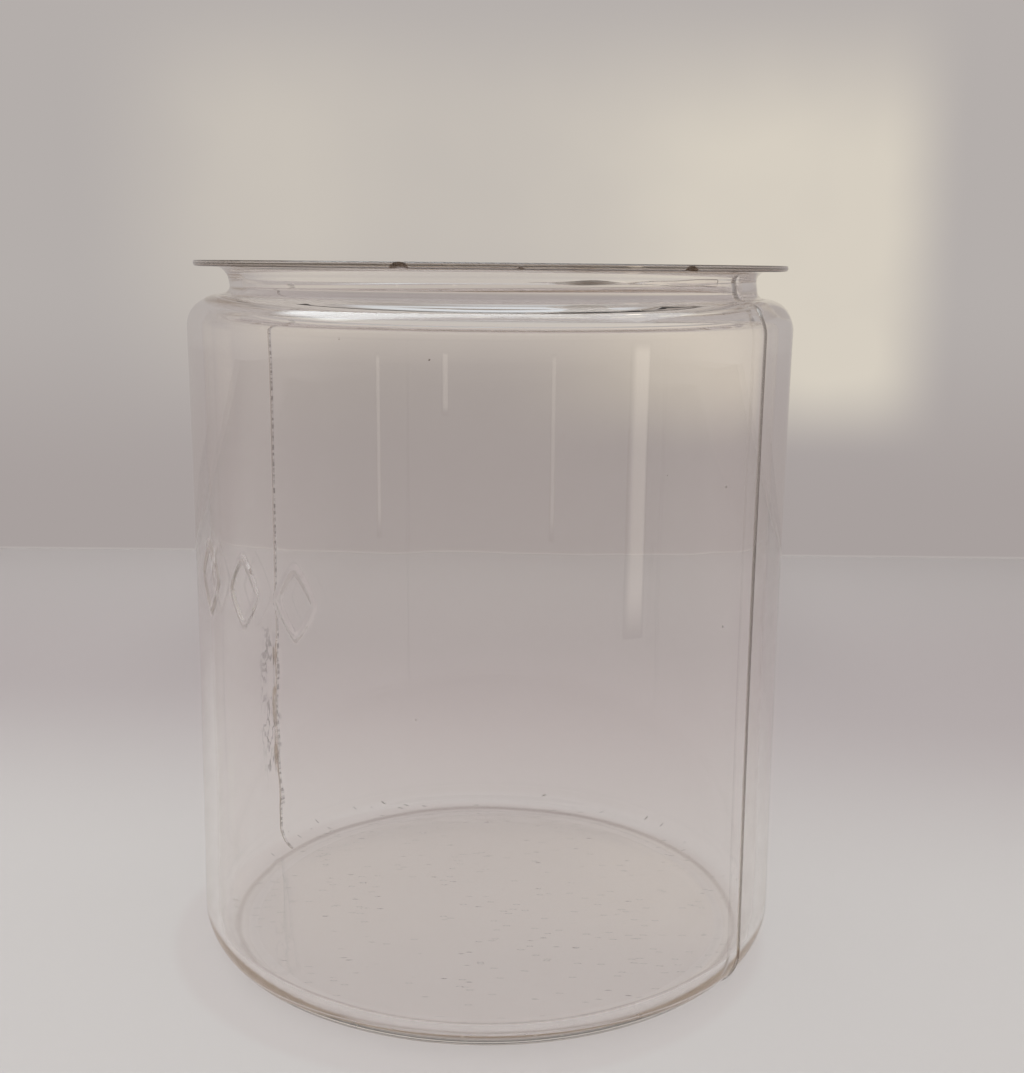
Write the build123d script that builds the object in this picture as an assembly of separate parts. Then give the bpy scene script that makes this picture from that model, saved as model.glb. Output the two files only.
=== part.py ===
from build123d import *
from math import acos, ceil, cos, degrees, radians, sin
import os

# Gas jar: one piece of clear moulded glass, open at the top, standing on its base ring.
# The origin is on the jar's axis at the surface it stands on, and +Z is up.
# All lengths are in millimetres and all angles in degrees.
# Angles round the jar are measured from +X towards +Y.

# Overall form
overall_height = 176.0
body_radius = 76.0

# Rim and neck
neck_setback = 10.5           # how far the outside of the neck stands in from the barrel
flange_reach = 8.2            # how far the flange stands out past the neck
flange_thickness = 1.6
flange_lower_round = 0.8
flange_upper_round = 0.35     # edge left by grinding the top flat
neck_depth = 8.0              # from the ground top down to the shoulder
cove_radius = 3.0             # outside curve from neck to flange
crease_radius = 2.0           # inside corner between neck and shoulder
ledge_width = 0.4             # level strip between that corner and the shoulder's curve

# Heel and underside
heel_radius = 11.0
foot_ring_width = 2.5         # flat ring that the jar stands on
push_up = 1.2                 # the underside is domed by this much inside the ring

# Glass thickness
wall_thickness = 3.6
neck_wall = 3.4
floor_thickness = 5.0
floor_crown = 0.8             # the floor inside is higher by this much at its middle
inner_heel_radius = 6.0
mouth_flare_radius = 2.6      # rounded way in at the top of the neck
throat_radius = 4.5           # inside curve from the neck into the shoulder

# Parting seams, where the two halves of the mould met
seam_angle = -34.5
seam_count = 2
seam_width = 1.2
seam_height = 0.4             # how far a seam stands out of the glass
seam_root = 1.0               # how far its solid reaches in, to join the wall
seam_bevel = 0.3              # slope along its outer edges
seam_start = -58.0            # it begins this far round the heel's curve

# Raised plain lozenges in a row on the near side of the barrel
relief_angle = -136.8         # the middle one
relief_step = 13.4
relief_count = 3
relief_level = 102.5
relief_length = 19.0          # from corner to corner, before the corners are rounded
relief_width = 12.0
relief_stroke = 1.5
relief_height = 0.5
relief_corner = 1.2

# Shell-shaped chips out of the flange: angle round the jar, and size
chips = ((-103.0, 2.6), (-84.5, 1.4), (-53.5, 2.3))
chip_bite = 0.55              # share of a chip's size that reaches into the glass

# Round stretches are made of flats that leave the true curve by no more than this,
# which is less than moulded glass is uneven by.
curve_tolerance = 0.15

# Heights and radii that follow from the sizes above
neck_radius = body_radius - neck_setback
flange_radius = neck_radius + flange_reach
flange_underside = overall_height - flange_thickness
shoulder_top = overall_height - neck_depth
shoulder_radius = neck_setback - crease_radius - ledge_width
shoulder_foot = shoulder_top - shoulder_radius
foot_ring_outer = body_radius - heel_radius
foot_ring_inner = foot_ring_outer - foot_ring_width


def arc(centre_radius, centre_height, radius, start, end):
    """Round stretch of the section, its angles turning from outwards to upwards."""
    widest_flat = 2 * degrees(acos(1 - curve_tolerance / max(radius, curve_tolerance)))
    flats = ceil(abs(end - start) / widest_flat)
    places = []
    for number in range(flats + 1):
        turn = radians(start + (end - start) * number / flats)
        places.append((centre_radius + radius * cos(turn), centre_height + radius * sin(turn)))
    return line(*places)


def line(*places):
    """Straight stretch, or several, of the section through (radius, height) places."""
    return Polyline(*[(radius, 0, height) for radius, height in places])


def dome(edge_radius, edge_height, rise):
    """Shallow dome of the section, as a round arc from its edge in to the jar's axis."""
    round_radius = (edge_radius ** 2 + rise ** 2) / (2 * rise)
    edge_angle = degrees(acos(edge_radius / round_radius))
    return arc(0, edge_height + rise - round_radius, round_radius, edge_angle, 90)


def outer_skin(grow=0.0, heel_start=-90.0):
    """Outside of the jar from the heel up to the flange, moved outwards by grow."""
    shoulder_centre = body_radius - shoulder_radius
    crease_centre = neck_radius + crease_radius
    cove_centre = neck_radius + cove_radius
    cove_foot = flange_underside - cove_radius
    return [
        arc(foot_ring_outer, heel_radius, heel_radius + grow, heel_start, 0),
        line((body_radius + grow, heel_radius), (body_radius + grow, shoulder_foot)),
        arc(shoulder_centre, shoulder_foot, shoulder_radius + grow, 0, 90),
        line((shoulder_centre, shoulder_top + grow), (crease_centre, shoulder_top + grow)),
        arc(crease_centre, shoulder_top + crease_radius, crease_radius - grow, 270, 180),
        line((neck_radius + grow, shoulder_top + crease_radius), (neck_radius + grow, cove_foot)),
        arc(cove_centre, cove_foot, cove_radius - grow, 180, 90),
    ]


def rim_section():
    """The flange and its flat ground top, as far as the mouth."""
    mouth_radius = neck_radius - neck_wall
    lower = flange_lower_round
    upper = flange_upper_round
    return [
        line(
            (neck_radius + cove_radius, flange_underside),
            (flange_radius - lower, flange_underside),
        ),
        arc(flange_radius - lower, flange_underside + lower, lower, -90, 0),
        line((flange_radius, flange_underside + lower), (flange_radius, overall_height - upper)),
        arc(flange_radius - upper, overall_height - upper, upper, 0, 90),
        line(
            (flange_radius - upper, overall_height),
            (mouth_radius + mouth_flare_radius, overall_height),
        ),
    ]


def cavity_section():
    """Inside of the jar from the mouth down to the middle of the floor."""
    mouth_radius = neck_radius - neck_wall
    shoulder_centre = body_radius - shoulder_radius
    inner_shoulder = shoulder_radius - wall_thickness
    ceiling = shoulder_foot + inner_shoulder
    flare = mouth_flare_radius
    throat = throat_radius
    inner_radius = body_radius - wall_thickness
    floor_edge = inner_radius - inner_heel_radius
    inner_heel_top = floor_thickness + inner_heel_radius
    return [
        arc(mouth_radius + flare, overall_height - flare, flare, 90, 180),
        line((mouth_radius, overall_height - flare), (mouth_radius, ceiling + throat)),
        arc(mouth_radius + throat, ceiling + throat, throat, 180, 270),
        line((mouth_radius + throat, ceiling), (shoulder_centre, ceiling)),
        arc(shoulder_centre, shoulder_foot, inner_shoulder, 90, 0),
        line((inner_radius, shoulder_foot), (inner_radius, inner_heel_top)),
        arc(floor_edge, inner_heel_top, inner_heel_radius, 0, -90),
        dome(floor_edge, floor_thickness, floor_crown),
    ]


def underside_section():
    """Axis, domed underside and the flat ring that the jar stands on."""
    return [
        line((0, floor_thickness + floor_crown), (0, push_up)),
        dome(foot_ring_inner, 0, push_up),
        line((foot_ring_inner, 0), (foot_ring_outer, 0)),
    ]


def glass_shell():
    """The jar turned from one closed section: wall, shoulder, neck, flange and base."""
    section = outer_skin() + rim_section() + cavity_section() + underside_section()
    return revolve(make_face(section), Axis.Z)


def seam_ridge():
    """Thin strip that follows the outside up from the heel, its outer edges sloped off."""
    outside = outer_skin(seam_height, seam_start)
    inside = outer_skin(-seam_root, seam_start)
    ends = [Line(outside[0] @ 0, inside[0] @ 0), Line(outside[-1] @ 1, inside[-1] @ 1)]
    ridge = extrude(make_face(outside + inside + ends), seam_width / 2, both=True)
    crest = Wire([edge for stretch in outside for edge in stretch.edges()])
    outer_edges = [
        edge for edge in ridge.edges()
        if abs((edge @ 0.5).Y) > seam_width / 4 and follows(edge, crest)
    ]
    return chamfer(outer_edges, min(seam_bevel, seam_width / 3))


def follows(edge, wire):
    """Whether an edge runs beside a wire of the section plane, at any depth."""
    places = [edge @ share for share in (0, 0.5, 1)]
    return all(Vertex(place.X, 0, place.Z).distance_to(wire) < 0.001 for place in places)


def parting_seams():
    """One ridge for each place where the halves of the mould met."""
    ridge = seam_ridge()
    step = 360 / seam_count
    return [Rot(0, 0, seam_angle + number * step) * ridge for number in range(seam_count)]


def lozenge():
    """Outline of one raised mark: a rounded lozenge with a smaller one taken out."""
    half_width = relief_width / 2
    half_length = relief_length / 2
    corners = [(half_width, 0), (0, half_length), (-half_width, 0), (0, -half_length)]
    outside = make_face(Polyline(*corners, close=True))
    outside = fillet(outside.vertices(), relief_corner)
    return outside - offset(outside, -relief_stroke)


def raised_marks():
    """The lozenges stood on the barrel, each trimmed to an even height above the glass."""
    inside_wall = (body_radius - wall_thickness / 2, 0, relief_level)
    face_plane = Plane(origin=inside_wall, x_dir=(0, 1, 0), z_dir=(1, 0, 0))
    skin = Pos(0, 0, relief_level) * Cylinder(body_radius + relief_height, relief_length * 2)
    mark = extrude(face_plane * lozenge(), wall_thickness) & skin
    first = relief_angle - relief_step * (relief_count - 1) / 2
    return [Rot(0, 0, first + number * relief_step) * mark for number in range(relief_count)]


def rim_chips():
    """Shallow scoops along the flange's lower edge."""
    scoops = []
    for angle, size in chips:
        reach = flange_radius + size * (1 - chip_bite)
        scoop = Pos(reach, 0, flange_underside - size * (1 - chip_bite)) * Sphere(size)
        scoops.append(Rot(0, 0, angle) * scoop)
    return scoops


def gas_jar():
    """The whole jar as one solid."""
    jar = glass_shell()
    for ridge in parting_seams():
        jar = jar + ridge
    for mark in raised_marks():
        jar = jar + mark
    for scoop in rim_chips():
        jar = jar - scoop
    return jar


os.makedirs("parts", exist_ok=True)
jar = gas_jar()
export_step(jar, "parts/jar.step")
print("jar volume, cubic centimetres:", round(jar.volume / 1000, 1))
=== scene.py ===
import math

import bpy
import numpy as np
from bpy.props import FloatProperty, FloatVectorProperty, PointerProperty
from mathutils import Matrix, Vector


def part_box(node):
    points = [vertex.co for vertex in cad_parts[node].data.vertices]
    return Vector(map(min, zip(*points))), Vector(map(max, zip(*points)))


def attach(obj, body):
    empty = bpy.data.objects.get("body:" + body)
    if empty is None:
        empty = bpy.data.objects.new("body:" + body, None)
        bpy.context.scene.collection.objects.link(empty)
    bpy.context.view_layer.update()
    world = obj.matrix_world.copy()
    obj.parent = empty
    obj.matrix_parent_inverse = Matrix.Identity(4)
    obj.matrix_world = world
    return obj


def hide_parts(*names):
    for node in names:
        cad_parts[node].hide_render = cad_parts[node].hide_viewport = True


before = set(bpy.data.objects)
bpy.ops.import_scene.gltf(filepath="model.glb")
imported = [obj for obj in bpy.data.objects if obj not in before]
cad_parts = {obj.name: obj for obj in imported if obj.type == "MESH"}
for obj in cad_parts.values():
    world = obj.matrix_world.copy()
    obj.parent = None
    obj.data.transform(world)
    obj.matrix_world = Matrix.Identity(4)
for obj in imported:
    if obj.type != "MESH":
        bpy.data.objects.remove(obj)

bl_info = {
    "name": "Gas Jar",
    "version": (1, 0, 0),
    "blender": (4, 5, 0),
    "location": "3D View > Sidebar > Gas Jar",
    "description": "Makes a moulded glass gas jar with its seams and flaws, and a pale stage",
    "category": "Add Mesh",
}

# The jar stands on the floor with its axis on Z. Angles round it turn from +X towards +Y.
MM = 0.001
CAD_LOW, CAD_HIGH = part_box("jar")
CAD_HEIGHT = CAD_HIGH.z
CHIPS = ((-103.9, 3.2), (-84.5, 1.5), (-54.0, 2.8))  # angle in degrees, size in millimetres

# The section: places along a radius where the underside and the floor have rows.
UNDERSIDE_SHARES = (0.04, 0.12, 0.3, 0.5, 0.7, 0.85, 0.94, 1.0)
FLOOR_SHARES = (0.96, 0.88, 0.75, 0.6, 0.45, 0.3, 0.15, 0.05)
LOWER_EDGE, UPPER_EDGE = 0.7 * MM, 0.35 * MM  # rounds of the flange's edge
GROUND_WIDTH, SEAM_END = 2.5 * MM, 1.2 * MM
CRACK_STEPS, CRACK_ROWS = 160, 8

# Columns, in degrees: the usual steps outside and inside, the least step, and for the seams and
# the marks how far to each side the columns are crowded, and their step there.
OUTER_STEP, INNER_STEP, LEAST_STEP, CHIP_STEP = 1.25, 1.5, 0.04, 0.35
SEAM_CROWD, MARK_CROWD = (0.66, 0.11), (5.2, 0.36)

# What each point of the glass carries, and its usual value.
POINT_VALUES = {
    "turn": 0.0, "away": (0.0, 0.0, 0.0), "seam_room": 0.0, "outside": 0.0, "ripple_room": 0.0,
    "broken": 0.0,
}

# The moulding tree. Its inputs are named after the moulding's properties.
MOULDING_INPUTS = (
    "Seam Angle", "Far Seam Turn", "Seam Twist", "Seam Width", "Seam Height", "Seam Drift",
    "Mark Angle", "Mark Step", "Mark Level", "Mark Length", "Mark Width", "Mark Stroke",
    "Mark Height", "Ripple Depth", "Ripple Count",
)
TWIST_LEVELS = (164 * MM, 170 * MM)
FLOWED_LEVELS = (6 * MM, 16 * MM, 60 * MM, 70 * MM)
WOBBLE_COUNT = 170.0  # to a metre
FAR_SEAM_SWELL = 0.9
MARK_ROUNDNESS = 1.22
MARK_SOFTNESS = 0.55 * MM
BOX_ROOM = 0.02 * MM

# The glass: levels and radii where its marks begin and end, and counts of cells to a metre.
# The flange's levels, radii and line step place the painted shade on its edge.
FLANGE_LEVELS = (CAD_HEIGHT - 2.2 * MM, CAD_HEIGHT - 1.9 * MM)
FLANGE_RADII = (71.8 * MM, 72.6 * MM)
FLANGE_LINE_STEP = 0.6 * MM
FLOOR_LEVELS = (4.7 * MM, 6.4 * MM)
FOOT_SHADOW_LINE = (66.0 * MM, 67.6 * MM, 68.0 * MM, 69.6 * MM)
FLOW_REACH = (-1.5 * MM, 0.5 * MM, 5 * MM, 10 * MM)
FLOW_LEVELS = (22 * MM, 32 * MM, 64 * MM, 82 * MM)
SPECK_CELLS = 90.0
SCRATCH_CELLS = (210.0, 900.0, 0.0)
PASSED_LIGHT = (0.950, 0.949, 0.949, 1)
CAUGHT_MIRRORS, CAUGHT_BOUNCES = 2, 9  # light that has met more of either is caught in the glass

# The stage, in metres. Lamps have name, place, target, size, watts and colour; cards have their
# turn from the jar's front in degrees, distance, width, foot, top and strength.
STAGE_SIZE = (2.0, 1.6, 0.49)  # reach to each side, height, and the backdrop's place
SKY_PLATE = ((-0.8, -0.35, 0.8), (1.4, 0, 0), (0, 0.7, 0))
SKY_TINT, CARD_TINT = (0.90, 0.97, 1.0), (1.0, 0.91, 0.80)
FAR_PAPER, NEAR_PAPER = (0.20, 0.45), (0.20, 0.01)
SHADOW_EDGE, SHADOW_TINT = (80.5 * MM, 76.5 * MM), (0.965, 0.945, 0.945, 1)
SHADE_HALF_WIDTHS = (0.19, 0.09)
SHADE_TINT = (0.88, 0.88, 0.88, 1)
LAMPS = (
    ("overhead", (-0.08, 0.12, 0.95), (-0.08, 0.12, 0.0), (1.6, 1.5), 14.05, (0.90, 0.961, 1.0)),
    ("front", (0.1, -1.0, 0.9), (0, 0, 0.08), (0.8, 0.5), 1.2, (1.0, 0.96, 0.92)),
)
CARDS = (
    (-37, 0.6, 0.016, 0.01, 0.125, 1.6), (-14, 0.6, 0.024, 0.08, 0.125, 1.8),
    (21.5, 0.6, 0.018, 0.01, 0.125, 1.4), (50.4, 0.42, 0.056, 0.001, 0.15, 2.3),
)

# The camera, fitted to the photograph's outlines.
PHOTO_SIZE = (1024, 1073)
FOCAL_PIXELS = 1397
SENSOR_WIDTH = 36
CAMERA_PLACE = (0.00585, -0.3595, 0.1754)
CAMERA_PITCH, CAMERA_ROLL = 10.97, 0.6

# Sockets of the mix node for colours: their names are shared with those for other kinds.
MIX_FACTOR, MIX_BELOW, MIX_ABOVE, MIX_RESULT = 0, 6, 7, 2


def length(description, default):
    """A size property, given in millimetres and kept in metres."""
    return FloatProperty(description=description, default=default * MM, unit="LENGTH", precision=4)


def turn(description, default):
    """An angle property, given in degrees and kept in radians."""
    return FloatProperty(description=description, default=math.radians(default), subtype="ANGLE")


def share(description, default):
    return FloatProperty(description=description, default=default, min=0.0)


def colour(description, red, green, blue):
    """A colour property, given as the eye sees it (sRGB, 0 to 255) and kept linear."""
    shown = [value / 255 for value in (red, green, blue)]
    linear = [v / 12.92 if v <= 0.04045 else ((v + 0.055) / 1.055) ** 2.4 for v in shown]
    return FloatVectorProperty(
        description=description, default=linear, subtype="COLOR", size=3, min=0, max=1
    )


class JarShape(bpy.types.PropertyGroup):
    """Sizes of the turned glass."""
    height: length("From the bench to the ground top", CAD_HEIGHT / MM)
    body_radius: length("At the shoulder, the widest place", 75.6)
    waist_radius: length("Half way up the barrel", 75.2)
    lower_radius: length("Where the barrel meets the heel", 75.6)
    flange_radius: length("Edge of the flat rim", 73.7)
    flange_thickness: length("Of the flat rim", 1.45)
    neck_radius: length("Outside of the neck", 65.8)
    neck_offset: length("How far the neck sits to one side of the barrel", 0.7)
    neck_depth: length("From the ground top to the shoulder", 8.0)
    cove_radius: length("Outside curve from neck to flange", 3.0)
    crease_radius: length("Inside corner between neck and shoulder", 2.0)
    shoulder_radius: length("Round of the shoulder", 7.8)
    heel_radius: length("Round of the outside at the base", 11.0)
    foot_width: length("Flat ring that the jar stands on", 2.5)
    push_up: length("Dome of the underside inside that ring", 1.2)
    wall: length("Glass thickness of the barrel", 3.6)
    neck_wall: length("Glass thickness of the neck", 3.4)
    floor: length("Glass thickness of the base", 5.0)
    floor_crown: length("Rise of the floor inside at its middle", 0.8)
    inner_heel: length("Round of the inside at the base", 6.0)
    mouth_flare: length("Rounded way in at the top of the neck", 2.6)
    throat_radius: length("Inside curve from the neck to the shoulder", 4.5)


class JarMoulding(bpy.types.PropertyGroup):
    """What the mould leaves on the outside: seams, raised marks and uneven glass."""
    seam_angle: turn("The near parting seam", -34.5)
    far_seam_turn: turn("How far the far seam is from opposite", 5.0)
    seam_twist: turn("How much further round the seam lies on the neck", 2.2)
    seam_width: length("Across the ridge", 1.3)
    seam_height: length("How far the ridge stands out", 0.42)
    seam_drift: length("Sideways flow of the far seam low down", 1.6)
    mark_angle: turn("The middle raised lozenge", -136.8)
    mark_step: turn("From one lozenge to the next", 13.4)
    mark_level: length("Height of the row of lozenges", 102.5)
    mark_length: length("Height of a lozenge", 18.4)
    mark_width: length("Width of a lozenge", 12.4)
    mark_stroke: length("Width of its raised line", 1.5)
    mark_height: length("How far it stands out", 0.3)
    ripple_depth: length("Unevenness of the moulded glass", 0.05)
    ripple_count: share("Waves of unevenness to a metre", 42.0)


class JarFlaws(bpy.types.PropertyGroup):
    """The crack in the neck and the chips out of the flange."""
    crack_start: turn("Where the crack begins", -83.0)
    crack_end: turn("Where it meets the near seam", -38.6)
    crack_level: length("Height of its middle", 172.1)
    crack_drop: length("Height of the broken face where it ends", 2.0)
    crack_gap: length("How far it has opened", 0.05)
    chip_bite: share("Share of a chip's size that reaches into the glass", 0.55)


class JarFinish(bpy.types.PropertyGroup):
    """Colours of the glass and of the stage, and of the light and shade painted on them."""
    glass: colour("Tint of the clear glass", 255, 253, 252)
    # Painted shade: the flange seen edge on is darkened with this brown, for rays straight from
    # the camera.
    rim: colour("The flange seen edge on", 58, 53, 48)
    fracture: colour("Broken faces of the crack and the chips", 124, 110, 97)
    # Painted shade: this colour darkens the seam ridges and the wrinkles beside the far seam.
    seam: colour("Ridge of the parting seams", 119, 114, 111)
    # Painted shadow: a thin dark line round the foot, where the jar meets the paper.
    foot: colour("Shadowed line round the ring that the jar stands on", 205, 195, 191)
    flow_turn: turn("Where the wrinkles beside the far seam begin", 151.5)
    edge: colour("Light caught inside the glass along its edges", 238, 233, 227)
    dirt: colour("Specks in the glass and dust on it", 104, 92, 82)
    # Painted light: the paper's three colours stand in for light falling off from the jar back to
    # the backdrop.
    floor_near: colour("Paper under the jar", 200, 195, 192)
    floor_mid: colour("Paper behind the jar", 180, 171, 170)
    floor_far: colour("Paper at its far edge", 189, 182, 180)
    # Painted highlight along the crease at the foot of the backdrop.
    crease: colour("Pale line where the paper turns up", 178, 171, 168)
    # Painted shade: the backdrop darkens towards its foot.
    wall_foot_shade: colour("Foot of the backdrop", 168, 160, 158)
    wall: colour("Backdrop", 180, 174, 171)
    glow: colour("Warm patch of light on the backdrop", 214, 206, 193)
    ceiling: colour("What the glass mirrors from overhead", 218, 222, 225)
    room: colour("What lies behind the camera", 158, 150, 144)


def arc(centre, radius, start, end, steps, hollow=False):
    """Round stretch of the section, as (radius, height, normal outwards, normal upwards)."""
    rows = []
    side = -1 if hollow else 1
    for number in range(steps + 1):
        angle = math.radians(start + (end - start) * number / steps)
        across, up = math.cos(angle), math.sin(angle)
        place = (centre[0] + radius * across, centre[1] + radius * up)
        rows.append((*place, side * across, side * up))
    return rows


def run(start, end, steps, normal):
    """Straight stretch of the section with one normal."""
    rows = []
    for number in range(steps + 1):
        radius, height = (a + (b - a) * number / steps for a, b in zip(start, end))
        rows.append((radius, height, *normal))
    return rows


def barrel_radius(shape, height):
    """Outside radius of the slightly waisted barrel at a height."""
    low, high = shape.heel_radius, shoulder_foot(shape)
    along = (height - low) / (high - low)
    return (
        shape.lower_radius * (1 - along) * (1 - 2 * along)
        + 4 * shape.waist_radius * along * (1 - along)
        + shape.body_radius * along * (2 * along - 1)
    )


def shoulder_foot(shape):
    return shape.height - shape.neck_depth - shape.shoulder_radius


def barrel_levels(shape, moulding, coarse, fine):
    """Heights of the barrel's rows, closer together across the raised marks."""
    low, high = shape.heel_radius, shoulder_foot(shape)
    if not fine:
        return list(np.linspace(low, high, coarse + 1))
    reach = moulding.mark_length / 2 + 0.6 * MM
    bottom, top = moulding.mark_level - reach, moulding.mark_level + reach
    below = round(coarse * (bottom - low) / (high - low))
    above = round(coarse * (high - top) / (high - low))
    return (
        list(np.linspace(low, bottom, below + 1))[:-1]
        + list(np.linspace(bottom, top, fine + 1))
        + list(np.linspace(top, high, above + 1))[1:]
    )


def outer_rows(shape, moulding):
    """The section's outside, from the middle of the underside out and up to the ground top."""
    rise = shape.push_up
    foot_outer = shape.lower_radius - shape.heel_radius
    foot_inner = foot_outer - shape.foot_width
    rows = [(0.0, rise, 0.0, -1.0)]
    for along in UNDERSIDE_SHARES:
        rows.append((foot_inner * along, rise * (1 - along ** 2), 0.0, -1.0))
    rows += run((foot_inner, 0), (foot_outer, 0), 3, (0, -1))[1:]
    rows += arc((foot_outer, shape.heel_radius), shape.heel_radius, -90, 0, 16)[1:]
    for level in barrel_levels(shape, moulding, 34, 38)[1:]:
        rows.append((barrel_radius(shape, level), level, 1.0, 0.0))
    shoulder_centre = (shape.body_radius - shape.shoulder_radius, shoulder_foot(shape))
    rows += arc(shoulder_centre, shape.shoulder_radius, 0, 90, 16)[1:]
    crease = shape.crease_radius
    crease_centre = (shape.neck_radius + crease, shape.height - shape.neck_depth + crease)
    rows += arc(crease_centre, crease, 270, 180, 8, True)
    underside = shape.height - shape.flange_thickness
    cove_centre = (shape.neck_radius + shape.cove_radius, underside - shape.cove_radius)
    rows += arc(cove_centre, shape.cove_radius, 180, 90, 7, True)
    lower, upper = LOWER_EDGE, UPPER_EDGE
    edge, top = shape.flange_radius, shape.height
    rows += run((cove_centre[0], underside), (edge - lower, underside), 4, (0, -1))[1:]
    rows += arc((edge - lower, underside + lower), lower, -90, 0, 5)[1:]
    rows += arc((edge - upper, top - upper), upper, 0, 90, 3)
    rows += run((edge - upper, top), (edge - GROUND_WIDTH, top), 2, (0, 1))[1:]
    return rows


def inner_rows(shape, moulding):
    """The section's inside, from the ground top in and down to the middle of the floor."""
    mouth = shape.neck_radius - shape.neck_wall
    flare, throat = shape.mouth_flare, shape.throat_radius
    foot = shoulder_foot(shape)
    inner_shoulder = shape.shoulder_radius - shape.wall
    rows = run((mouth + flare + 1.2 * MM, shape.height), (mouth + flare, shape.height), 1, (0, 1))
    rows += arc((mouth + flare, shape.height - flare), flare, 90, 180, 7)[1:]
    rows += arc((mouth + throat, foot + inner_shoulder + throat), throat, 180, 270, 7)
    shoulder_centre = (shape.body_radius - shape.shoulder_radius, foot)
    rows += arc(shoulder_centre, inner_shoulder, 90, 0, 8, True)
    heel_top = shape.floor + shape.inner_heel
    for level in barrel_levels(shape, moulding, 30, 0)[::-1][1:-1]:
        if level > heel_top:
            rows.append((barrel_radius(shape, level) - shape.wall, level, -1.0, 0.0))
    edge = barrel_radius(shape, heel_top) - shape.wall - shape.inner_heel
    rows += arc((edge, heel_top), shape.inner_heel, 0, -90, 12, True)
    for along in FLOOR_SHARES:
        rows.append((edge * along, shape.floor + shape.floor_crown * (1 - along ** 2), 0.0, 1.0))
    rows.append((0.0, shape.floor + shape.floor_crown, 0.0, 1.0))
    return rows


def outer_turns(moulding):
    """Angles of the outside's columns, closer together at the seams, marks and chips."""
    turns = list(np.arange(-180, 180, OUTER_STEP))

    def crowd(middle, half, step):
        nonlocal turns
        turns = [t for t in turns if abs((t - middle + 180) % 360 - 180) > half]
        turns += list(np.arange(middle - half, middle + half + step / 2, step))

    seam = math.degrees(moulding.seam_angle)
    for middle in (seam, seam + 180 + math.degrees(moulding.far_seam_turn)):
        crowd(middle, *SEAM_CROWD)
    for middle, size in CHIPS:
        crowd(middle, math.degrees(size / 71), CHIP_STEP)
    marks = math.degrees(moulding.mark_angle)
    for number in (-1, 0, 1):
        crowd(marks + number * math.degrees(moulding.mark_step), *MARK_CROWD)
    turns = sorted((t + 180) % 360 - 180 for t in turns)
    kept = [turns[0]]
    for t in turns[1:]:
        if t - kept[-1] > LEAST_STEP:
            kept.append(t)
    return np.radians(kept)


def ring_faces(rings, count):
    """Quads between rings of equal count, which follow each other along the section."""
    return [
        (first + here, first + after, second + after, second + here)
        for first, second in zip(rings, rings[1:])
        for here, after in zip(range(count), (*range(1, count), 0))
    ]


def zip_faces(first, first_turns, second, second_turns):
    """Triangles between two rings that have different columns."""
    faces = []
    i = j = 0
    m, n = len(first_turns), len(second_turns)
    while i < m or j < n:
        next_first = first_turns[i + 1] if i + 1 < m else first_turns[0] + 2 * math.pi
        next_second = second_turns[j + 1] if j + 1 < n else second_turns[0] + 2 * math.pi
        if j >= n or (i < m and next_first <= next_second):
            faces.append((first + i % m, first + (i + 1) % m, second + j % n))
            i += 1
        else:
            faces.append((first + i % m, second + (j + 1) % n, second + j % n))
            j += 1
    return faces


def neck_shift(shape, height):
    """How far a level of the neck lies to one side; the flange and barrel stay on the axis."""
    low, high = shoulder_foot(shape) + 3 * MM, shape.height - shape.flange_thickness
    if not low < height < high:
        return 0.0
    middle = shape.height - shape.neck_depth + 1.5 * MM
    end = low if height < middle else high
    along = (height - end) / (middle - end)
    return shape.neck_offset * along * along * (3 - 2 * along)


def linked(name, data):
    """A new object in the scene."""
    made = bpy.data.objects.new(name, data)
    bpy.context.scene.collection.objects.link(made)
    return made


class GlassMesh:
    """Collects points and faces, with the values that the moulding tree and the glass read."""

    def __init__(self):
        self.points, self.faces = [], []
        self.values = {name: [] for name in POINT_VALUES}

    def point(self, place, **values):
        """Adds a point, with those of its values that aren't usual, and gives its number."""
        self.points.append(place)
        for name, usual in POINT_VALUES.items():
            self.values[name].append(values.get(name, usual))
        return len(self.points) - 1

    def pole(self, row):
        """Adds the end of the section, on the axis."""
        return self.point((0.0, 0.0, row[1]), away=(0.0, 0.0, row[3]))

    def ring(self, row, turns, **values):
        """Adds one row of the section, turned round the axis."""
        radius, height, across, up = row
        first = len(self.points)
        for angle in turns:
            c, s = math.cos(angle), math.sin(angle)
            away = (across * c, across * s, up)
            self.point((radius * c, radius * s, height), turn=angle, away=away, **values)
        return first

    def object(self, name):
        mesh = bpy.data.meshes.new(name)
        mesh.from_pydata(self.points, [], self.faces)
        for label, values in self.values.items():
            kind, key = ("FLOAT_VECTOR", "vector") if label == "away" else ("FLOAT", "value")
            layer = mesh.attributes.new(label, kind, "POINT")
            layer.data.foreach_set(key, np.array(values, dtype=np.float32).ravel())
        mesh.update()
        return linked(name, mesh)


def seam_room(shape, row):
    """How fully the seam stands at a row: it fades in on the heel and out on the cove."""
    radius, height, across, up = row
    if height < shape.heel_radius:
        lean = math.degrees(math.atan2(up, across))
        return min(1.0, max(0.0, (lean + 66) / 10)) if across > 0 else 0.0
    cove_top = shape.height - shape.flange_thickness
    if height > cove_top - SEAM_END:
        on_cove = radius < 69 * MM
        return max(0.0, min(1.0, (cove_top - height) / SEAM_END)) if on_cove else 0.0
    return 1.0


def chipped(shape, flaws, point):
    """A point of the flange moved onto the hollow of a chip, where one reaches it."""
    where = Vector(point)
    for degrees, size in CHIPS:
        angle, size = math.radians(degrees), size * MM
        out = size * (1 - flaws.chip_bite)
        reach = shape.flange_radius + out
        level = shape.height - shape.flange_thickness - out
        centre = Vector((reach * math.cos(angle), reach * math.sin(angle), level))
        away = where - centre
        if 0 < away.length < size:
            where = centre + away.normalized() * size
    return tuple(where)


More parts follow.
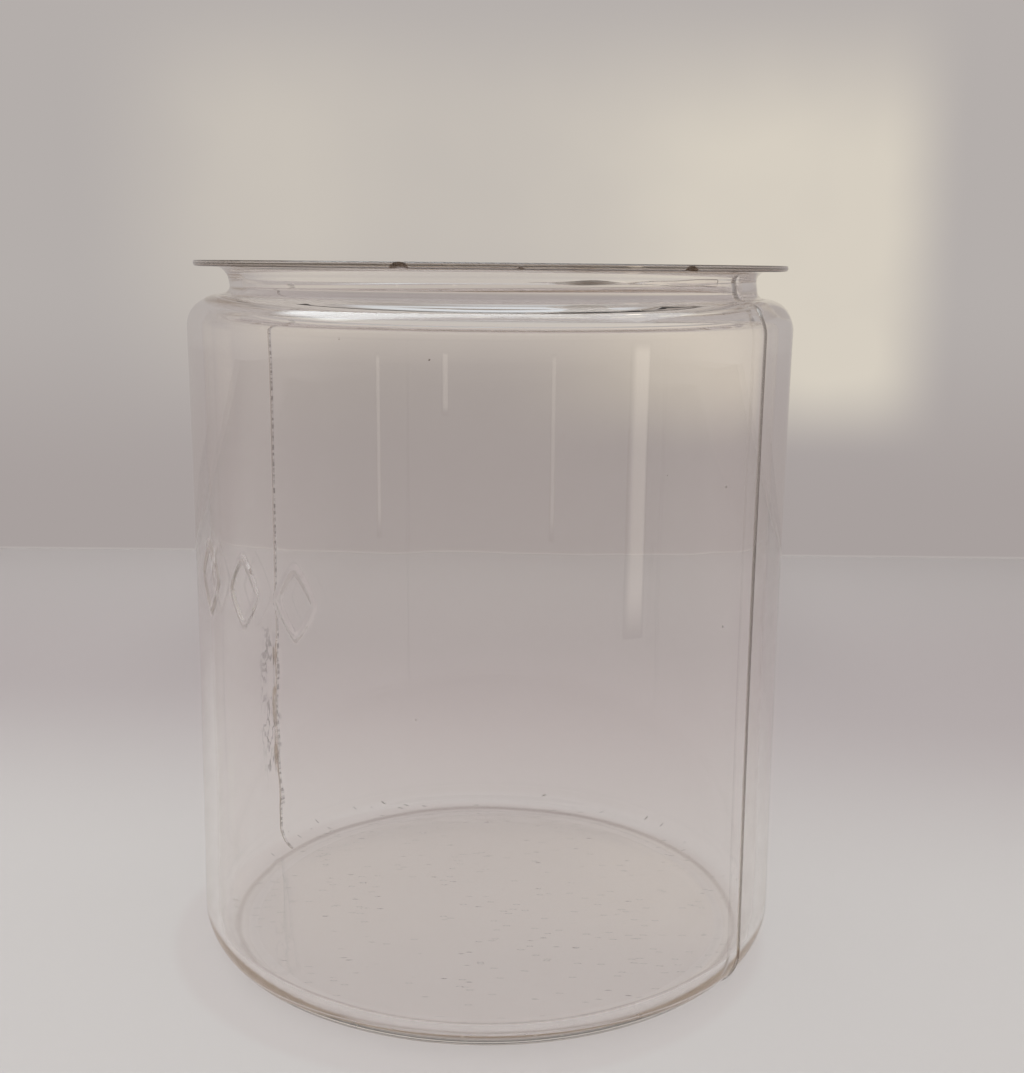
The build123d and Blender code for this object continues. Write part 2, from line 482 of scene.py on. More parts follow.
def crack_face(flaws, along):
    """Level, height, depth share, opening and spindle share of the crack along its length."""
    spindle = math.exp(-((along - 0.27) / 0.13) ** 2)
    grown = min(1.0, max(0.0, (along - 0.45) / 0.55))
    ends = min(1.0, along / 0.12, (1 - along) / 0.015)
    level = flaws.crack_level - 0.1 * MM * (1 - grown) + 0.07 * MM * math.sin(23 * along + 1)
    drop = flaws.crack_drop * (0.06 + 0.5 * spindle + 0.94 * grown ** 0.6 * (1 - spindle)) * ends
    return level, drop, 0.3 + 0.6 * spindle, flaws.crack_gap * (1 + 2 * spindle) * ends, spindle


def add_crack(glass, shape, flaws):
    """The crack: a thin closed hollow inside the neck's wall, its faces turned into the hollow."""
    outer = shape.neck_radius - 0.15 * MM
    reach = shape.neck_wall - 0.3 * MM
    loops = []
    for number in range(1, CRACK_STEPS):
        along = number / CRACK_STEPS
        angle = flaws.crack_start + (flaws.crack_end - flaws.crack_start) * along
        level, drop, depth, gap, spindle = crack_face(flaws, along)
        loops.append(len(glass.points))
        for step in range(2 * CRACK_ROWS):
            going_out = step < CRACK_ROWS
            t = step / CRACK_ROWS if going_out else 2 - step / CRACK_ROWS
            side = 1 if going_out else -1
            bulge = math.sin(math.pi * t) ** 0.6 if 0 < t < 1 else 0.0
            bent = 0.5 + 0.5 * math.sin(math.pi * (t - 0.5))
            r = outer - reach * depth * (1 - t) + side * gap * bulge / 2
            z = level + drop * (bent - 0.5) + side * gap * (bulge + 0.05) / 2
            x, y = r * math.cos(angle), r * math.sin(angle)
            broken = 0.75 * max(spindle, 0.0 if 0.2 < t < 0.8 else 1.0)
            glass.point((x + neck_shift(shape, z), y, z), turn=angle, broken=broken)
    size = 2 * CRACK_ROWS
    for first, second in zip(loops, loops[1:]):
        for step in range(size):
            after = (step + 1) % size
            glass.faces.append((first + step, second + step, second + after, first + after))
    glass.faces.append(tuple(loops[0] + step for step in range(size)))
    glass.faces.append(tuple(loops[-1] + step for step in reversed(range(size))))


def glass_base(shape, moulding, flaws):
    """The turned glass with its columns and rows laid out, before the mould's relief is raised."""
    glass = GlassMesh()
    outside, inside = outer_rows(shape, moulding), inner_rows(shape, moulding)
    outer_angles = outer_turns(moulding)
    inner_angles = np.radians(np.arange(-180, 180, INNER_STEP))
    foot, top = shoulder_foot(shape), shape.height - 0.1 * MM

    pole = glass.pole(outside[0])
    rings = []
    for row in outside[1:]:
        radius, height = row[:2]
        on_barrel = shape.heel_radius <= height <= foot and radius > 70 * MM
        rippled = (0.35 if height > foot else 1.0) if 0.1 * MM <= height <= top else 0.0
        rings.append(glass.ring(
            row, outer_angles, seam_room=seam_room(shape, row), outside=float(on_barrel),
            ripple_room=rippled,
        ))
    count = len(outer_angles)
    glass.faces += ring_faces(rings, count)
    glass.faces += [(pole, rings[0] + (n + 1) % count, rings[0] + n) for n in range(count)]
    rim = rings[-1]

    rings = []
    for row in inside[:-1]:
        height = row[1]
        rippled = 1.4 * (0.3 if height > foot else 1.0) if height <= top else 0.0
        rings.append(glass.ring(row, inner_angles, ripple_room=rippled))
    count, last = len(inner_angles), rings[-1]
    glass.faces += zip_faces(rim, outer_angles, rings[0], inner_angles)
    glass.faces += ring_faces(rings, count)
    pole = glass.pole(inside[-1])
    glass.faces += [(last + n, last + (n + 1) % count, pole) for n in range(count)]

    glass.points = [(x + neck_shift(shape, z), y, z) for x, y, z in glass.points]
    flange_foot = shape.height - shape.flange_thickness - 3 * MM
    for index, point in enumerate(glass.points):
        if point[2] > flange_foot and math.hypot(*point[:2]) > shape.neck_radius + 1 * MM:
            glass.points[index] = chipped(shape, flaws, point)
            if math.dist(glass.points[index], point) > 0.01 * MM:
                glass.values["broken"][index] = 1.0
    add_crack(glass, shape, flaws)
    return glass


class Tree:
    """Short ways to add nodes to a node tree and join them."""

    def __init__(self, tree):
        self.tree = tree

    def add(self, kind, inputs=(), **settings):
        """A new node with its settings; inputs is a dict of sockets, by name or by number."""
        node = self.tree.nodes.new(kind)
        for key, value in settings.items():
            setattr(node, key, value)
        for key, value in dict(inputs).items():
            self.feed(node.inputs[key], value)
        return node

    def feed(self, socket, value):
        """Joins a socket to an output, or writes a plain value on it."""
        if isinstance(value, bpy.types.NodeSocket):
            self.tree.links.new(value, socket)
        else:
            socket.default_value = value

    def maths(self, operation, *values):
        node = self.add("ShaderNodeMath", operation=operation)
        for socket, value in zip(node.inputs, values):
            self.feed(socket, value)
        return node.outputs[0]

    def product(self, *values):
        total = values[0]
        for value in values[1:]:
            total = self.maths("MULTIPLY", total, value)
        return total

    def ramp(self, value, low, high, bottom=0.0, top=1.0):
        """Value taken smoothly from low..high to bottom..top, held at the ends."""
        node = self.add("ShaderNodeMapRange", interpolation_type="SMOOTHSTEP")
        for socket, number in zip(node.inputs, (value, low, high, bottom, top)):
            self.feed(socket, number)
        return node.outputs[0]

    def band(self, value, low, inner_low, inner_high, high):
        """1 between the two inner values, fading to 0 at the outer ones."""
        return self.product(self.ramp(value, low, inner_low), self.ramp(value, high, inner_high))

    def apart(self, vector):
        """The x, y and z of a vector."""
        return self.add("ShaderNodeSeparateXYZ", {0: vector}).outputs

    def axis_distance(self, x, y):
        squares = self.maths("ADD", self.product(x, x), self.product(y, y))
        return self.maths("SQRT", squares)

    def noise(self, inputs, dimensions="3D"):
        return self.add("ShaderNodeTexNoise", inputs, noise_dimensions=dimensions).outputs[0]

    def mix(self, factor, below, above, blend="MIX"):
        """The colour below with the colour above laid over it."""
        sockets = {MIX_FACTOR: factor, MIX_BELOW: below, MIX_ABOVE: above}
        node = self.add("ShaderNodeMix", sockets, data_type="RGBA", blend_type=blend)
        return node.outputs[MIX_RESULT]

    def either(self, factor, below, above):
        """One number or the other, by the factor."""
        sockets = {0: factor, 2: below, 3: above}
        return self.add("ShaderNodeMix", sockets, data_type="FLOAT").outputs[0]

    def blend(self, factor, first, second):
        """Two shaders mixed."""
        return self.add("ShaderNodeMixShader", {0: factor, 1: first, 2: second}).outputs[0]

    def show(self, shader):
        self.add("ShaderNodeOutputMaterial", {"Surface": shader})


def moulding_tree(material):
    """Raises the seams, the row of lozenges and the faint ripples on the turned glass."""
    group = bpy.data.node_groups.new("jar_moulding", "GeometryNodeTree")
    face = group.interface
    face.new_socket("Geometry", in_out="INPUT", socket_type="NodeSocketGeometry")
    for name in MOULDING_INPUTS:
        face.new_socket(name, in_out="INPUT", socket_type="NodeSocketFloat")
    face.new_socket("Geometry", in_out="OUTPUT", socket_type="NodeSocketGeometry")
    tree = Tree(group)
    given = tree.add("NodeGroupInput").outputs
    maths, ramp, product = tree.maths, tree.ramp, tree.product

    def attribute(name, kind="FLOAT"):
        node = tree.add("GeometryNodeInputNamedAttribute", {"Name": name}, data_type=kind)
        return node.outputs["Attribute"]

    def half_of(name):
        return product(given[name], 0.5)

    angle = attribute("turn")
    seam_mask = attribute("seam_room")
    place = tree.add("GeometryNodeInputPosition").outputs[0]
    x, y, z = tree.apart(place)
    radius = tree.axis_distance(x, y)

    # Both seams at once: the distance to the nearer one. The far one has flowed low down.
    twist = product(ramp(z, *TWIST_LEVELS), given["Seam Twist"])
    from_seam = maths("SUBTRACT", maths("SUBTRACT", angle, given["Seam Angle"]), twist)
    far = ramp(maths("COSINE", from_seam), -0.2, -0.6)
    from_seam = maths("SUBTRACT", from_seam, product(far, given["Far Seam Turn"]))
    flowed = product(far, tree.band(z, *FLOWED_LEVELS))
    wobble = tree.noise({"W": product(z, WOBBLE_COUNT), "Detail": 2.0}, "1D")
    drift = product(
        product(flowed, maths("SUBTRACT", wobble, 0.5)), product(given["Seam Drift"], 2.0)
    )
    off = maths("ADD", product(maths("SINE", from_seam), radius), drift)
    fall = maths("POWER", maths("DIVIDE", maths("ABSOLUTE", off), half_of("Seam Width")), 2.0)
    crest = maths("MAXIMUM", maths("SUBTRACT", 1.0, fall), 0.0)
    swell = maths("ADD", 1.0, product(flowed, FAR_SEAM_SWELL))
    seam = product(product(crest, seam_mask), product(given["Seam Height"], swell))

    # The lozenges: the nearest of three, then the distance to the middle of its raised line.
    from_mark = maths("SUBTRACT", angle, given["Mark Angle"])
    number = maths("ROUND", maths("DIVIDE", from_mark, given["Mark Step"]))
    number = maths("MINIMUM", maths("MAXIMUM", number, -1.0), 1.0)
    across = maths("SUBTRACT", from_mark, product(number, given["Mark Step"]))
    across = product(maths("ABSOLUTE", across), radius)
    above = maths("ABSOLUTE", maths("SUBTRACT", z, given["Mark Level"]))
    wide, tall = half_of("Mark Width"), half_of("Mark Length")
    share_across = maths("POWER", maths("DIVIDE", across, wide), MARK_ROUNDNESS)
    share_above = maths("POWER", maths("DIVIDE", above, tall), MARK_ROUNDNESS)
    metric = maths("POWER", maths("ADD", share_across, share_above), 1 / MARK_ROUNDNESS)
    lean = maths("SQRT", maths(
        "ADD", *(maths("POWER", maths("DIVIDE", 1.0, half), 2.0) for half in (wide, tall))
    ))
    outwards = maths("DIVIDE", maths("SUBTRACT", metric, 1.0), lean)
    half_stroke = half_of("Mark Stroke")
    from_line = maths("ABSOLUTE", maths("ADD", outwards, half_stroke))
    edge = ramp(maths("SUBTRACT", half_stroke, from_line), 0.0, MARK_SOFTNESS)
    mark = product(edge, given["Mark Height"], attribute("outside"))

    ripple = tree.noise({"Vector": place, "Scale": given["Ripple Count"], "Detail": 1.0})
    waves = product(
        maths("SUBTRACT", ripple, 1.0), given["Ripple Depth"], attribute("ripple_room")
    )

    raised = maths("ADD", maths("MAXIMUM", seam, mark), waves)
    move = tree.add(
        "ShaderNodeVectorMath", {0: attribute("away", "FLOAT_VECTOR"), "Scale": raised},
        operation="SCALE",
    )
    moved = tree.add(
        "ShaderNodeVectorMath", {0: place, 1: move.outputs[0]}, operation="ADD"
    )
    ridge = tree.add(
        "GeometryNodeStoreNamedAttribute",
        {"Geometry": given["Geometry"], "Name": "ridge", "Value": product(crest, seam_mask)},
        data_type="FLOAT", domain="POINT",
    )
    setter = tree.add(
        "GeometryNodeSetPosition", {"Geometry": ridge.outputs[0], "Position": moved.outputs[0]}
    )
    smooth = tree.add("GeometryNodeSetShadeSmooth", {0: setter.outputs[0]})
    real = tree.add("GeometryNodeRealizeInstances", {0: smooth.outputs[0]})
    finish = tree.add(
        "GeometryNodeSetMaterial", {"Geometry": real.outputs[0], "Material": material}
    )
    tree.add("NodeGroupOutput", {0: finish.outputs[0]})
    return group


def grown(base, group, values, name):
    """The base with the tree applied, as a plain mesh object."""
    modifier = base.modifiers.new(group.name, "NODES")
    modifier.node_group = group
    for item in group.interface.items_tree:
        if item.in_out == "INPUT" and item.name in values:
            modifier[item.identifier] = values[item.name]
    ready = base.evaluated_get(bpy.context.evaluated_depsgraph_get())
    mesh = bpy.data.meshes.new_from_object(ready)
    base.modifiers.remove(modifier)
    bpy.data.objects.remove(base)
    mesh.name = name
    return linked(name, mesh)


def keep_inside(mesh):
    """Holds every point within the CAD model's box."""
    points = np.zeros(len(mesh.vertices) * 3, np.float32)
    mesh.vertices.foreach_get("co", points)
    points = points.reshape(-1, 3)
    low, high = np.array(CAD_LOW), np.array(CAD_HIGH)
    room = (BOX_ROOM, BOX_ROOM, 0)
    points = np.clip(points, low + room, high - room)
    mesh.vertices.foreach_set("co", points.astype(np.float32).ravel())
    mesh.update()


def new_material(name):
    """An empty node material, and its tree."""
    material = bpy.data.materials.new(name)
    material.use_nodes = True
    material.node_tree.nodes.clear()
    return material, Tree(material.node_tree)


def object_place(tree):
    """Object coordinates, whole and as x, y and z."""
    place = tree.add("ShaderNodeTexCoord").outputs["Object"]
    return place, *tree.apart(place)


def opaque(tint):
    return (*tint, 1)


def painted_flange_shade(tree, z, radius):
    """Share of painted shade on the flange seen edge on, with fine level lines of painted
    highlight across it.
    """
    edge = tree.product(tree.ramp(z, *FLANGE_LEVELS), tree.ramp(radius, *FLANGE_RADII))
    below_top = tree.maths("SUBTRACT", CAD_HEIGHT - 0.1 * MM, z)
    lines = tree.maths("COSINE", tree.product(below_top, 2 * math.pi / FLANGE_LINE_STEP))
    return tree.product(edge, tree.maths("ADD", 0.60, tree.product(lines, 0.40)))


def bubble_specks(tree, place):
    """1 in a few bubbles and specks of dust."""
    cells = tree.add("ShaderNodeTexVoronoi", {"Vector": place, "Scale": SPECK_CELLS}).outputs
    picked = tree.add("ShaderNodeSeparateColor", {0: cells["Color"]}).outputs[0]
    speck = tree.maths("LESS_THAN", cells["Distance"], 0.022)
    return tree.product(speck, tree.maths("GREATER_THAN", picked, 0.72))


def floor_scratches(tree, place, z, patches):
    """Short scratches on the floor of the jar, left by what stood in it."""
    dashes = []
    for spin, offset in ((-0.32, 0.0), (0.25, 3.7)):
        laid = tree.add("ShaderNodeMapping", {
            "Vector": place, "Location": (offset, offset, 0.0), "Rotation": (0.0, 0.0, spin),
            "Scale": SCRATCH_CELLS,
        })
        cells = tree.add(
            "ShaderNodeTexVoronoi", {"Vector": laid.outputs[0], "Scale": 1.0},
            voronoi_dimensions="2D",
        ).outputs
        picked = tree.add("ShaderNodeSeparateColor", {0: cells["Color"]}).outputs[0]
        dash = tree.ramp(cells["Distance"], 0.24, 0.10)
        dashes.append(tree.product(dash, tree.maths("GREATER_THAN", picked, 0.92)))
    low, high = FLOOR_LEVELS
    on_floor = tree.product(tree.maths("LESS_THAN", z, high), tree.maths("GREATER_THAN", z, low))
    shown = tree.product(tree.maths("MAXIMUM", *dashes), tree.ramp(patches, 0.40, 0.52))
    return tree.product(shown, on_floor)


def painted_seam_shade(tree, y, z):
    """Share of painted shade along the seam ridges, patchy on the far one."""
    ridge = tree.add("ShaderNodeAttribute", attribute_name="ridge").outputs["Fac"]
    along = tree.noise({"W": tree.product(z, 130.0)}, "1D")
    patchy = tree.ramp(along, 0.40, 0.60, 0.15, 0.95)
    weight = tree.either(tree.maths("GREATER_THAN", y, 0.0), 0.8, patchy)
    return tree.product(tree.ramp(ridge, 0.02, 0.45), weight)


def flow_marks(tree, finish, place, patches):
    """Short wandering wrinkles beside the far seam, where the glass has flowed."""
    x, y, z = tree.apart(place)
    turned = tree.maths("SUBTRACT", tree.maths("ARCTAN2", y, x), finish.flow_turn)
    beside = tree.product(turned, 75.6 * MM)
    room = tree.product(tree.band(beside, *FLOW_REACH), tree.band(z, *FLOW_LEVELS))
    laid = tree.add("ShaderNodeMapping", {"Vector": place, "Scale": (1.0, 1.0, 0.55)})
    wander = tree.noise({"Vector": laid.outputs[0], "Scale": 190.0, "Detail": 2.5})
    from_line = tree.maths("ABSOLUTE", tree.maths("SUBTRACT", wander, 0.5))
    line = tree.product(tree.ramp(from_line, 0.034, 0.008), tree.ramp(patches, 0.44, 0.54))
    return tree.product(line, room)


def glass_material(finish):
    """Clear glass with specks and scratches, a painted foot shadow, painted shade on seams and
    flange, and brown broken faces.
    """
    material, tree = new_material("clear_glass")
    maths, product, mix = tree.maths, tree.product, tree.mix
    place, x, y, z = object_place(tree)
    radius = tree.axis_distance(x, y)
    path = tree.add("ShaderNodeLightPath").outputs
    unmirrored = maths("LESS_THAN", path["Glossy Depth"], 0.5)
    first = product(unmirrored, maths("LESS_THAN", path["Transmission Depth"], 0.5))
    early = product(unmirrored, maths("LESS_THAN", path["Transmission Depth"], 1.5))

    speck = bubble_specks(tree, place)
    patches = tree.noise({"Vector": place, "Scale": 60.0})
    scratch = floor_scratches(tree, place, z, patches)
    dirty = maths("MAXIMUM", product(speck, 0.9), product(scratch, 0.9))
    # Painted shadow where the foot meets the paper, laid on the glass at the heel.
    foot = product(maths("LESS_THAN", z, 1.2 * MM), tree.band(radius, *FOOT_SHADOW_LINE))
    wrinkled = product(flow_marks(tree, finish, place, patches), 0.85)
    # Painted shade along the seams, with the far seam's wrinkles drawn in the same colour.
    seam_shade_and_wrinkles = maths("MAXIMUM", painted_seam_shade(tree, y, z), wrinkled)
    tint = opaque(finish.glass)
    for factor, above in (
        (dirty, finish.dirt), (foot, finish.foot),
        # Painted shade on the flange's edge, for rays straight from the camera.
        (product(painted_flange_shade(tree, z, radius), first), finish.rim), (seam_shade_and_wrinkles, finish.seam),
    ):
        tint = mix(factor, tint, opaque(above))
    ground = maths("GREATER_THAN", z, CAD_HEIGHT - 0.03 * MM)
    rough = maths("MAXIMUM", product(ground, 0.15), product(scratch, 0.3))
    glass = tree.add("ShaderNodeBsdfPrincipled", {
        "Base Color": tint, "Roughness": maths("MAXIMUM", rough, product(speck, 0.4)),
        "Metallic": 0.0, "IOR": 1.5, "Transmission Weight": 1.0,
    })

    # Light passes to the paper with a faint shadow, which keeps the floor under the jar clean.
    passing = tree.add("ShaderNodeBsdfTransparent", {"Color": PASSED_LIGHT})
    lit = maths("MAXIMUM", path["Is Shadow Ray"], path["Is Diffuse Ray"])
    open_glass = tree.blend(lit, glass.outputs[0], passing.outputs[0])

    # Light caught between the faces comes out a little dimmed, as it does along real edges.
    # The broken faces of the crack and the chips pass a brown light.
    caught = maths(
        "MAXIMUM", maths("GREATER_THAN", path["Glossy Depth"], CAUGHT_MIRRORS + 0.5),
        maths("GREATER_THAN", path["Ray Depth"], CAUGHT_BOUNCES + 0.5),
    )
    broken = tree.add("ShaderNodeAttribute", attribute_name="broken").outputs["Fac"]
    in_wall = product(early, maths("LESS_THAN", radius, 70 * MM))
    brown_share = product(broken, maths("MAXIMUM", first, in_wall))
    broken_tint = mix(brown_share, opaque(finish.edge), opaque(finish.fracture))
    leak = tree.add("ShaderNodeBsdfTransparent", {"Color": broken_tint})
    leaking = maths("MAXIMUM", caught, product(broken, 0.9))
    tree.show(tree.blend(leaking, open_glass, leak.outputs[0]))
    return material


def seen_rays(tree):
    """1 for rays that carry a picture of the stage: from the camera, mirrored or through glass."""
    path = tree.add("ShaderNodeLightPath").outputs
    seen = tree.maths("MAXIMUM", path["Is Camera Ray"], path["Is Glossy Ray"])
    return tree.maths("MAXIMUM", seen, path["Is Transmission Ray"])


def shade_group():
    """A node group that dims a colour in the soft shade straight behind the jar."""
    group = bpy.data.node_groups.new("shade_behind_jar", "ShaderNodeTree")
    for name, kind, way in (
        ("Color", "Color", "INPUT"), ("Across", "Float", "INPUT"), ("Strength", "Float", "INPUT"),
        ("Color", "Color", "OUTPUT"),
    ):
        group.interface.new_socket(name, in_out=way, socket_type=f"NodeSocket{kind}")
    tree = Tree(group)
    given = tree.add("NodeGroupInput").outputs
    behind = tree.ramp(tree.maths("ABSOLUTE", given["Across"]), *SHADE_HALF_WIDTHS)
    dim = tree.product(behind, given["Strength"])
    shaded = tree.mix(dim, given["Color"], SHADE_TINT, "MULTIPLY")
    tree.add("NodeGroupOutput", {0: shaded})
    return group


def shaded_behind(tree, group, tint, x, strength):
    """The colour put through that node group."""
    sockets = {"Color": tint, "Across": x, "Strength": strength}
    return tree.add("ShaderNodeGroup", sockets, node_tree=group).outputs[0]


def paper_material(finish, behind_jar):
    """Pale paper with painted light: brighter near the jar and to the left."""
    material, tree = new_material("paper")
    place, x, y, z = object_place(tree)
    distant = tree.mix(
        tree.ramp(y, *FAR_PAPER), opaque(finish.floor_mid), opaque(finish.floor_far)
    )
    # Painted light: the brighter paper reaches further back on the left.
    aslant = tree.maths("ADD", y, tree.product(x, 0.12))
    tint = tree.mix(tree.ramp(aslant, *NEAR_PAPER), distant, opaque(finish.floor_near))
    tint = shaded_behind(tree, behind_jar, tint, x, tree.ramp(y, 0.14, 0.30))
    # The jar's own faint shadow shows past its foot to the front left.
    from_middle = tree.axis_distance(
        tree.maths("ADD", x, 4.5 * MM), tree.maths("ADD", y, 4 * MM)
    )
    tint = tree.mix(tree.ramp(from_middle, *SHADOW_EDGE), tint, SHADOW_TINT, "MULTIPLY")
    fibre = tree.noise({"Vector": place, "Scale": 900.0})
    bump = tree.add("ShaderNodeBump", {"Strength": 0.05, "Distance": 0.2 * MM, "Height": fibre})
    paper = tree.add("ShaderNodeBsdfPrincipled", {
        "Base Color": tint, "Normal": bump.outputs[0], "Roughness": 0.9, "Specular IOR Level": 0.1,
    })
    tree.show(paper.outputs[0])
    return material


def wall_material(finish, behind_jar):
    """Backdrop with a soft warm patch of light, shown as it is and lighting nothing."""
    material, tree = new_material("backdrop")
    ramp, product = tree.ramp, tree.product
    place, x, y, z = object_place(tree)
    # Daylight through a window falls on it as a wide soft patch, brightest to the right.
    across = tree.band(x, -0.262, -0.14, 0.218, 0.274)
    left = product(tree.band(z, 0.060, 0.205, 0.250, 0.345), ramp(x, -0.13, -0.04, 0.56, 0.42))
    right = tree.band(z, 0.060, 0.118, 0.235, 0.345)
    level = tree.either(ramp(x, -0.02, 0.17), left, right)
    cloud = tree.noise({"Vector": place, "Scale": 14.0})
    uneven = tree.maths("ADD", 0.80, product(cloud, 0.42))
    patch = tree.maths("MINIMUM", product(across, level, uneven), 1.0)
    # Painted shade: darker towards the foot of the backdrop.
    tint = tree.mix(ramp(z, 0.17, 0.03), opaque(finish.wall), opaque(finish.wall_foot_shade))
    tint = tree.mix(patch, tint, opaque(finish.glow))
    # Painted highlight: a pale line where the sheet is creased at its foot.
    tint = tree.mix(ramp(z, 1.6 * MM, 0.6 * MM), tint, opaque(finish.crease))
    tint = shaded_behind(tree, behind_jar, tint, x, ramp(z, 0.17, 0.10))
    light = tree.add("ShaderNodeEmission", {"Color": tint})
    plain = tree.add("ShaderNodeBsdfDiffuse", {"Color": opaque(finish.wall)})
    tree.show(tree.blend(seen_rays(tree), plain.outputs[0], light.outputs[0]))
    return material


def glowing(name, tint):
    """A material that only gives light, with its tree and its light node."""
    material, tree = new_material(name)
    light = tree.add("ShaderNodeEmission", {"Color": opaque(tint)})
    tree.show(light.outputs[0])
    return material, tree, light


def card_material(name, strength, side, middle, width, low, high):
    """A glowing card that fades towards its long edges, its foot and its top."""
    material, tree, light = glowing(name, CARD_TINT)
    place, x, y, z = object_place(tree)
    across = tree.maths("ADD", tree.product(x, side.x), tree.product(y, side.y))
    across = tree.maths("SUBTRACT", across, side.dot(middle))
    fade = tree.band(across, -0.50 * width, -0.10 * width, 0.34 * width, 0.50 * width)
    tall = high - low
    fade = tree.product(fade, tree.band(z, low, low + 0.14 * tall, high - 0.1 * tall, high))
    tree.feed(light.inputs["Strength"], tree.product(fade, strength))
    return material


def sky_material(name):
    """Bluish daylight from overhead, strongest to the left, seen only in the glass's outside."""
    material, tree, light = glowing(name, SKY_TINT)
    place, x, y, z = object_place(tree)
    path = tree.add("ShaderNodeLightPath").outputs
    first = tree.product(
        tree.maths("LESS_THAN", path["Glossy Depth"], 1.5),
        tree.maths("LESS_THAN", path["Transmission Depth"], 0.5),
    )
    soft = tree.product(
        tree.ramp(tree.maths("ABSOLUTE", y), 0.34, 0.16), tree.ramp(x, -0.78, -0.55)
    )
    strength = tree.product(soft, tree.ramp(x, -0.35, 0.55, 7.5, 3.0))
    tree.feed(light.inputs["Strength"], tree.product(strength, first))
    return material


def plate(name, corner, along, up, material):
    """A flat stage piece, from one corner and its two sides."""
    corner, along, up = Vector(corner), Vector(along), Vector(up)
    corners = [corner, corner + along, corner + along + up, corner + up]
    mesh = bpy.data.meshes.new(name)
    mesh.from_pydata(corners, [], [(0, 1, 2, 3)])
    mesh.materials.append(material)
    made = linked(name, mesh)
    return made


def hidden_from(item, *rays):
    for ray in rays:
        setattr(item, f"visible_{ray}", False)


def only_mirrored(card):
    hidden_from(card, "camera", "transmission", "diffuse", "shadow")


def standing_card(name, azimuth, distance, width, low, high, strength):
    """A narrow upright card in front of the jar, seen only as a reflection in the glass."""
    out = math.radians(azimuth)
    middle = Vector((math.sin(out), -math.cos(out), 0)) * distance
    side = Vector((math.cos(out), math.sin(out), 0))
    corner = middle - side * width / 2 + Vector((0, 0, low))
    material = card_material(name, strength, side, middle, width, low, high)
    only_mirrored(plate(name, corner, side * width, (0, 0, high - low), material))


def area_lamp(name, place, target, size, watts, tint):
    """A lamp that lights the paper and isn't seen itself, in the glass or otherwise."""
    light = bpy.data.lights.new(name, "AREA")
    light.shape = "RECTANGLE"
    light.size, light.size_y = size
    light.energy = watts
    light.color = tint
    lamp = linked(name, light)
    lamp.location = place
    aim = Vector(target) - Vector(place)
    lamp.rotation_euler = aim.to_track_quat("-Z", "Y").to_euler()
    hidden_from(lamp, "camera", "transmission", "glossy")


def room_world(finish):
    """Even pale surroundings, dimmer and browner behind the camera and brighter overhead."""
    world = bpy.data.worlds.new("room")
    world.use_nodes = True
    world.node_tree.nodes.clear()
    tree = Tree(world.node_tree)
    x, y, z = tree.apart(tree.add("ShaderNodeTexCoord").outputs["Generated"])
    tint = tree.mix(tree.ramp(y, 0.1, -0.7), opaque(finish.wall), opaque(finish.room))
    overhead = tree.product(tree.ramp(z, 0.45, 0.85), seen_rays(tree))
    tint = tree.mix(overhead, tint, opaque(finish.ceiling))
    back = tree.add("ShaderNodeBackground", {"Color": tint, "Strength": 1.0})
    tree.add("ShaderNodeOutputWorld", {"Surface": back.outputs[0]})
    bpy.context.scene.world = world


def photo_camera():
    """The camera where the photograph was taken from, looking along +Y and down."""
    data = bpy.data.cameras.new("camera")
    data.sensor_fit = "AUTO"
    data.sensor_width = SENSOR_WIDTH
    data.lens = FOCAL_PIXELS / max(PHOTO_SIZE) * SENSOR_WIDTH
    data.clip_start, data.clip_end = 0.01, 20
    data.dof.use_dof = False
    camera = linked("camera", data)
    camera.matrix_world = (
        Matrix.Translation(CAMERA_PLACE)
        @ Matrix.Rotation(math.radians(90 - CAMERA_PITCH), 4, "X")
        @ Matrix.Rotation(math.radians(CAMERA_ROLL), 4, "Z")
    )
    bpy.context.scene.camera = camera


class JarGlassOperator(bpy.types.Operator):
    """Make the jar's glass, with its seams, raised lozenges, chips and crack"""
    bl_idname = "gasjar.glass"
    bl_label = "Glass"

    def execute(self, context):
        scene = context.scene
        moulding = scene.jar_moulding
        base = glass_base(scene.jar_shape, moulding, scene.jar_flaws).object("jar_base")
        group = moulding_tree(glass_material(scene.jar_finish))
        values = {
            name: getattr(moulding, name.lower().replace(" ", "_")) for name in MOULDING_INPUTS
        }
        jar = grown(base, group, values, "jar_glass")
        keep_inside(jar.data)
        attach(jar, "root")
        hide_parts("jar")
        return {"FINISHED"}


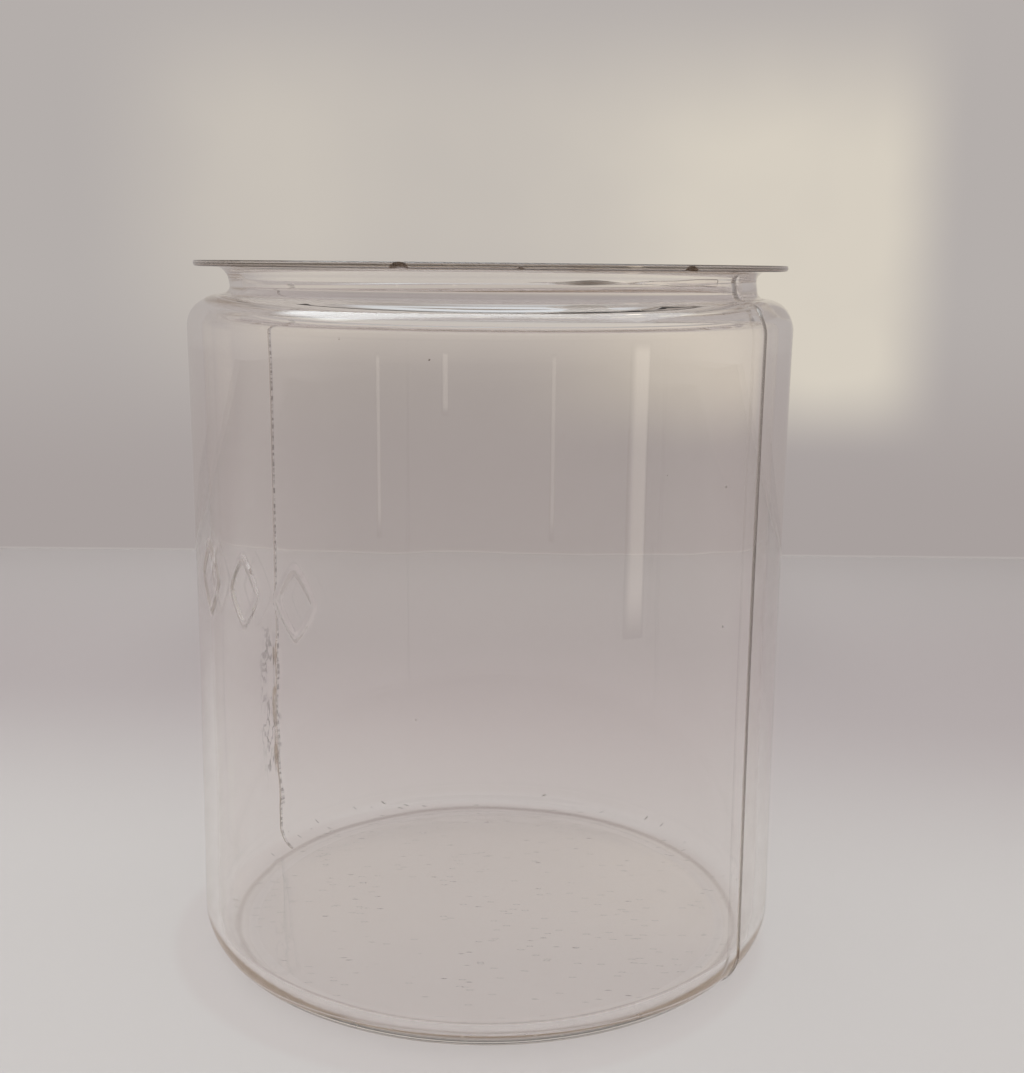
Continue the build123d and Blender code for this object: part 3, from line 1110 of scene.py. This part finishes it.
class JarStageOperator(bpy.types.Operator):
    """Make the pale paper floor, the backdrop, the lights and the camera"""
    bl_idname = "gasjar.stage"
    bl_label = "Stage"

    def execute(self, context):
        finish = context.scene.jar_finish
        behind_jar = shade_group()
        reach, tall, wall_at = STAGE_SIZE
        across = (2 * reach, 0, 0)
        paper, wall = paper_material(finish, behind_jar), wall_material(finish, behind_jar)
        plate("floor", (-reach, -reach, 0), across, (0, reach + wall_at, 0), paper)
        plate("backdrop", (-reach, wall_at, 0), across, (0, 0, tall), wall)
        for lamp in LAMPS:
            area_lamp(*lamp)
        for number, card in enumerate(CARDS):
            standing_card(f"card_{number}", *card)
        only_mirrored(plate("sky", *SKY_PLATE, sky_material("sky")))
        room_world(finish)
        photo_camera()
        context.scene.view_settings.view_transform = "Standard"
        return {"FINISHED"}


class JarPanel(bpy.types.Panel):
    """Gas jar pieces and their sizes"""
    bl_label = "Gas Jar"
    bl_idname = "VIEW3D_PT_gas_jar"
    bl_space_type = "VIEW_3D"
    bl_region_type = "UI"
    bl_category = "Gas Jar"

    def draw(self, context):
        scene = context.scene
        layout = self.layout
        for group in (scene.jar_shape, scene.jar_moulding, scene.jar_flaws, scene.jar_finish):
            box = layout.box()
            for name in group.__annotations__:
                box.prop(group, name, text=name.replace("_", " ").capitalize())
        for operator in OPERATORS:
            layout.operator(operator.bl_idname)


OPERATORS = (JarGlassOperator, JarStageOperator)
GROUPS = {
    "jar_shape": JarShape, "jar_moulding": JarMoulding, "jar_flaws": JarFlaws,
    "jar_finish": JarFinish,
}


def register():
    for kind in (*GROUPS.values(), *OPERATORS, JarPanel):
        bpy.utils.register_class(kind)
    for name, kind in GROUPS.items():
        setattr(bpy.types.Scene, name, PointerProperty(type=kind))


def unregister():
    for name in GROUPS:
        delattr(bpy.types.Scene, name)
    for kind in reversed((*GROUPS.values(), *OPERATORS, JarPanel)):
        bpy.utils.unregister_class(kind)


def main():
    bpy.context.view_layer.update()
    register()
    bpy.ops.gasjar.stage()
    bpy.ops.gasjar.glass()


if __name__ == "__main__":
    main()
